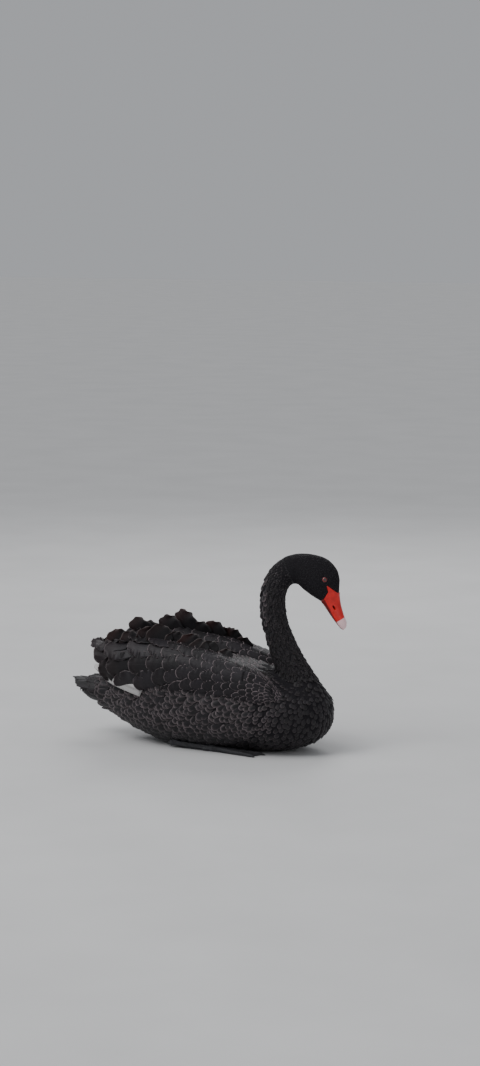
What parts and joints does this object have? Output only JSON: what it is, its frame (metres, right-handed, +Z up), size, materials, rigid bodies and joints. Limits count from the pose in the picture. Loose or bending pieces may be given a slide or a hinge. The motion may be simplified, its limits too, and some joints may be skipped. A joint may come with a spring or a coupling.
{
  "type": "black swan",
  "caption": "Life-size black swan resting on its belly, neck arched and red bill turned down, ruffled wings folded.",
  "frame": {"origin": "bottom centre of the whole bird's box, on the floor under the belly", "axes": "+X towards the breast, +Y towards the bird's left, +Z up"},
  "size_m": [0.6336, 0.2514, 0.4305],
  "materials": {
    "plumage": "soft black feathers",
    "wing": "black feathers with pale grey-brown fringes",
    "white": "white flight feathers",
    "bill": "waxy red",
    "nail": "pale pink horn",
    "eye": "wet gloss",
    "foot": "scaly black skin"
  },
  "bodies": {
    "root": {"breast": "plumage", "torso": "plumage", "rump": "plumage", "tail": "plumage", "neck_lower": "plumage", "neck_middle": "plumage", "neck_upper": "plumage", "head": "plumage", "bill_upper": "bill", "bill_lower": "bill", "bill_nail": "nail", "eye_left": "eye", "eye_right": "eye", "wing_left": "wing", "wing_right": "wing", "primaries_left": "white", "primaries_right": "white", "leg_left": "foot", "leg_right": "foot"}
  },
  "joints": []
}
